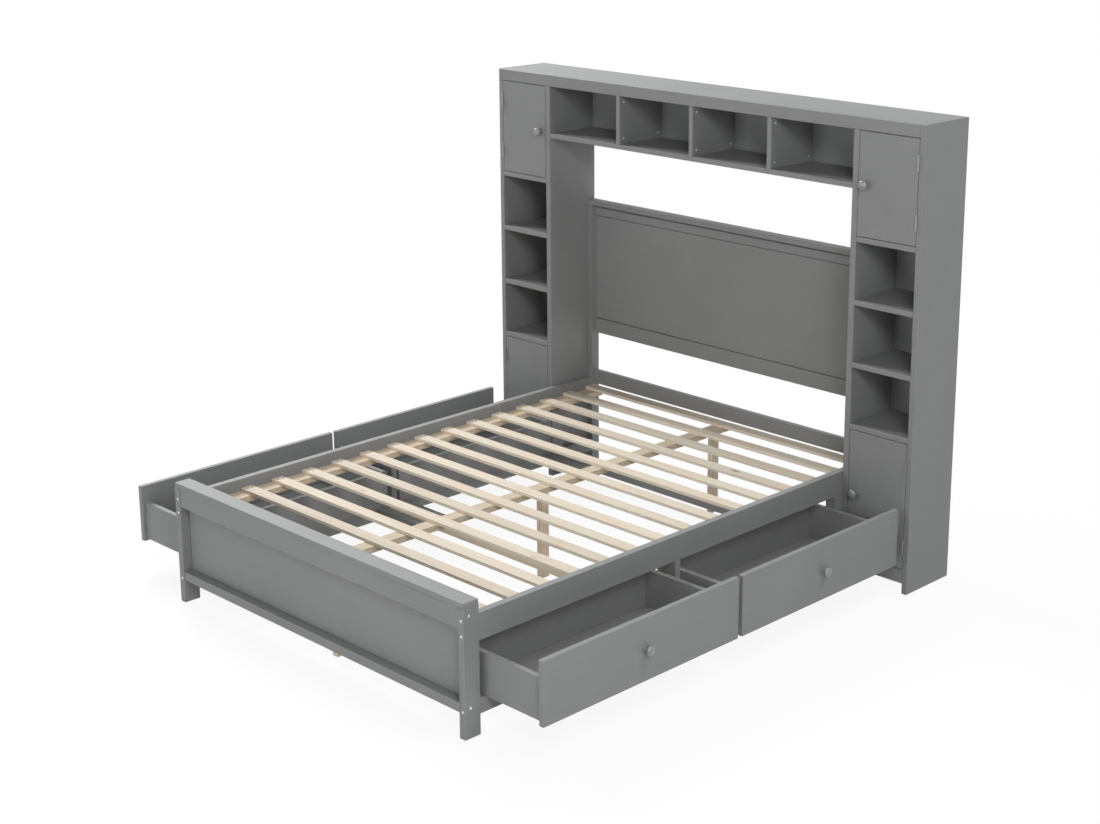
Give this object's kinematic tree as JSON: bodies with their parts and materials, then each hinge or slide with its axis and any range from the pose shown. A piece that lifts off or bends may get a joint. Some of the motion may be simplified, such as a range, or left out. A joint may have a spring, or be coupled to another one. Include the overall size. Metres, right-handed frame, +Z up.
{
  "type": "bed with drawers",
  "caption": "Slatted wooden bed with drawers under both sides and a storage headboard: side cabinets with doors and open shelves, joined by a row of pigeonholes over the pillows.",
  "frame": {"origin": "on the floor, in the middle of the bed, under its middle leg", "axes": "+X to the right of a person looking from the foot to the head, +Y to the head end, +Z up"},
  "size_m": [2.0975, 2, 1.62],
  "materials": {
    "grey_paint": "satin grey paint on solid wood and board, edges slightly eased",
    "knob_paint": "semi-gloss grey paint on turned wood",
    "pine": "bare planed pine with fine straight grain",
    "steel": "bright zinc-plated steel"
  },
  "bodies": {
    "frame": {"foot_post_left": "grey_paint", "foot_post_right": "grey_paint", "foot_cap": "grey_paint", "foot_top_rail": "grey_paint", "foot_panel": "grey_paint", "foot_bottom_rail": "grey_paint", "side_rail_left": "grey_paint", "side_rail_right": "grey_paint", "lower_rails": "grey_paint", "drawer_posts": "grey_paint", "head_cross_rail": "grey_paint", "drawer_runners": "grey_paint", "head_posts": "grey_paint", "head_cap": "grey_paint", "head_panel_rails": "grey_paint", "head_panel": "grey_paint", "head_support_rail": "grey_paint", "cabinet_outer_sides": "grey_paint", "cabinet_inner_sides": "grey_paint", "cabinet_shelves": "grey_paint", "cabinet_backs": "grey_paint", "kick_boards": "grey_paint", "top_board": "grey_paint", "fascia": "grey_paint", "bridge_shelf": "grey_paint", "bridge_dividers": "grey_paint", "bridge_back": "grey_paint", "slats": "pine", "slat_ledgers": "pine", "center_beam": "pine", "center_legs": "pine", "mid_stretcher": "pine", "frame_bolts": "steel", "slat_screws": "steel", "connector_caps": "steel", "cabinet_hinges": "steel"},
    "drawer_foot_left": {"drawer_foot_left_front": "grey_paint", "drawer_foot_left_box": "grey_paint", "drawer_foot_left_knob": "knob_paint"},
    "drawer_foot_right": {"drawer_foot_right_front": "grey_paint", "drawer_foot_right_box": "grey_paint", "drawer_foot_right_knob": "knob_paint"},
    "drawer_head_left": {"drawer_head_left_front": "grey_paint", "drawer_head_left_box": "grey_paint", "drawer_head_left_knob": "knob_paint"},
    "drawer_head_right": {"drawer_head_right_front": "grey_paint", "drawer_head_right_box": "grey_paint", "drawer_head_right_knob": "knob_paint"},
    "door_upper_left": {"door_upper_left": "grey_paint", "door_upper_left_knob": "knob_paint", "door_upper_left_hinges": "steel"},
    "door_upper_right": {"door_upper_right": "grey_paint", "door_upper_right_knob": "knob_paint", "door_upper_right_hinges": "steel"},
    "door_lower_left": {"door_lower_left": "grey_paint", "door_lower_left_knob": "knob_paint", "door_lower_left_hinges": "steel"},
    "door_lower_right": {"door_lower_right": "grey_paint", "door_lower_right_knob": "knob_paint", "door_lower_right_hinges": "steel"}
  },
  "joints": [
    {"name": "drawer_foot_left_slide", "type": "slide", "parent": "frame", "child": "drawer_foot_left", "axis": [-1, 0, 0], "range_m": [-0.312, 0]},
    {"name": "drawer_foot_right_slide", "type": "slide", "parent": "frame", "child": "drawer_foot_right", "axis": [1, 0, 0], "range_m": [-0.2415, 0.0705]},
    {"name": "drawer_head_left_slide", "type": "slide", "parent": "frame", "child": "drawer_head_left", "axis": [-1, 0, 0], "range_m": [-0.312, 0]},
    {"name": "drawer_head_right_slide", "type": "slide", "parent": "frame", "child": "drawer_head_right", "axis": [1, 0, 0], "range_m": [-0.2415, 0.0705]},
    {"name": "door_upper_left_hinge", "type": "hinge", "parent": "frame", "child": "door_upper_left", "pos_m": [-0.989, 0.7514, 0], "axis": [0, 0, -1], "range_deg": [0, 105]},
    {"name": "door_upper_right_hinge", "type": "hinge", "parent": "frame", "child": "door_upper_right", "pos_m": [0.989, 0.7514, 0], "axis": [0, 0, 1], "range_deg": [0, 105]},
    {"name": "door_lower_left_hinge", "type": "hinge", "parent": "frame", "child": "door_lower_left", "pos_m": [-0.989, 0.7514, 0], "axis": [0, 0, -1], "range_deg": [0, 10]},
    {"name": "door_lower_right_hinge", "type": "hinge", "parent": "frame", "child": "door_lower_right", "pos_m": [0.989, 0.7514, 0], "axis": [0, 0, 1], "range_deg": [0, 10]}
  ]
}
